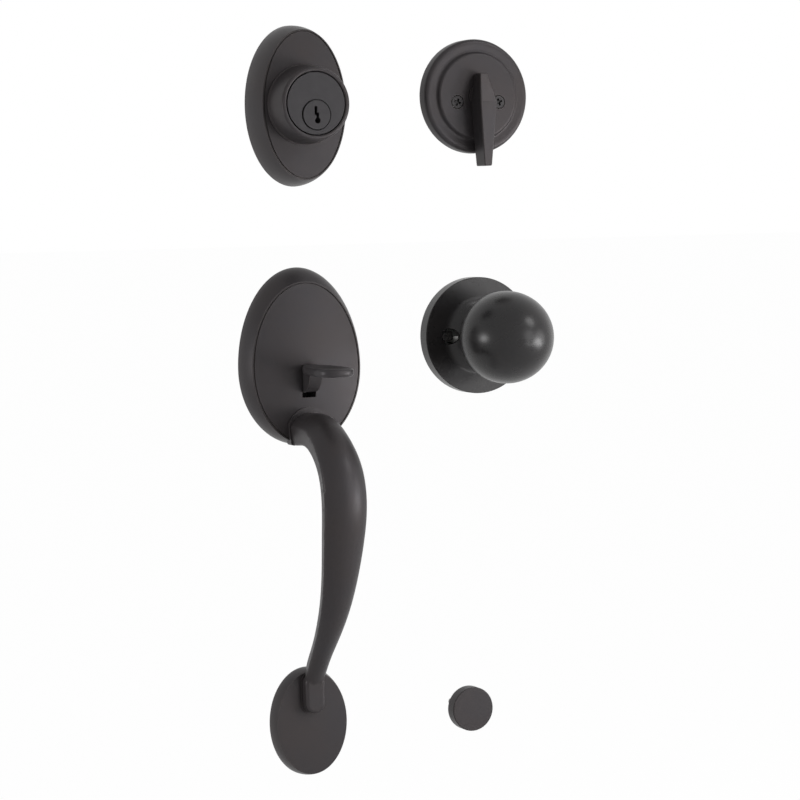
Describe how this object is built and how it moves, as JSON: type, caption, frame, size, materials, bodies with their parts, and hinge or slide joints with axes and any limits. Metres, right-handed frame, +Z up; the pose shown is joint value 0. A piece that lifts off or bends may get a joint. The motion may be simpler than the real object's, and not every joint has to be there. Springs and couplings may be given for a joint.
{
  "type": "entry door handleset",
  "caption": "Entry door handleset: oval deadbolt plate with key cylinder, curved grip with thumbpiece between oval plates, inside thumbturn, ball knob and round bolt cap.",
  "frame": {"origin": "outside latch axis on the door face, on the back plane of the upper plate", "axes": "+Z up along the handle, +Y into the door, +X from the outside pieces towards the inside pieces"},
  "size_m": [0.1846, 0.117, 0.4327],
  "materials": {
    "dark_bronze": "satin oil-rubbed dark bronze",
    "knob_bronze": "smooth satin dark bronze, a little glossier",
    "cylinder_bronze": "dark bronze over brass, fine turned face",
    "plated_steel": "dull zinc plate",
    "spring_steel": "oiled spring steel",
    "dark_steel": "blackened steel",
    "bush_plastic": "black moulded plastic"
  },
  "bodies": {
    "fixed_pieces": {"deadbolt_oval_rosette": "dark_bronze", "cylinder_collar": "dark_bronze", "cylinder_body": "cylinder_bronze", "turn_rosette": "dark_bronze", "turn_backplate": "plated_steel", "turn_bush": "bush_plastic", "turn_screws": "dark_steel", "upper_plate": "dark_bronze", "mounting_posts": "plated_steel", "lower_plate": "dark_bronze", "lower_post": "plated_steel", "grip": "dark_bronze", "grip_screws": "plated_steel", "foot_screw": "plated_steel", "thumb_bracket": "dark_steel", "thumb_pivot_pin": "plated_steel", "thumb_spring": "spring_steel", "knob_rose": "dark_bronze", "rose_liner": "plated_steel", "knob_return_spring": "spring_steel", "knob_bolts": "dark_steel", "cap_base": "bush_plastic", "lower_bolt": "dark_steel", "bolt_cap": "dark_bronze"},
    "plug_group": {"key_plug": "cylinder_bronze", "plug_retainer": "spring_steel", "deadbolt_tailpiece": "plated_steel"},
    "thumbturn_group": {"thumbturn": "dark_bronze", "turn_clip": "spring_steel"},
    "thumbpiece_group": {"thumbpiece": "dark_bronze"},
    "knob_group": {"knob": "knob_bronze", "knob_clip": "spring_steel", "knob_spindle": "plated_steel"}
  },
  "joints": [
    {"name": "key_turn", "type": "hinge", "parent": "fixed_pieces", "child": "plug_group", "pos_m": [0, 0, 0.1333], "axis": [0, 1, 0], "range_deg": [-90, 90]},
    {"name": "thumbturn_turn", "type": "hinge", "parent": "fixed_pieces", "child": "thumbturn_group", "pos_m": [0.1142, 0, 0.1449], "axis": [0, 1, 0], "range_deg": [-90, 90]},
    {"name": "thumb_press", "type": "hinge", "parent": "fixed_pieces", "child": "thumbpiece_group", "pos_m": [0, -0.007, -0.012], "axis": [1, 0, 0], "range_deg": [0, 20], "stiffness_Nm_per_rad": 0.3, "springref_deg": -28.65, "deforming": ["thumb_spring"]},
    {"name": "knob_turn", "type": "hinge", "parent": "fixed_pieces", "child": "knob_group", "pos_m": [0.1124, 0, 0.0045], "axis": [0, 1, 0], "range_deg": [-60, 60], "stiffness_Nm_per_rad": 0.4}
  ]
}
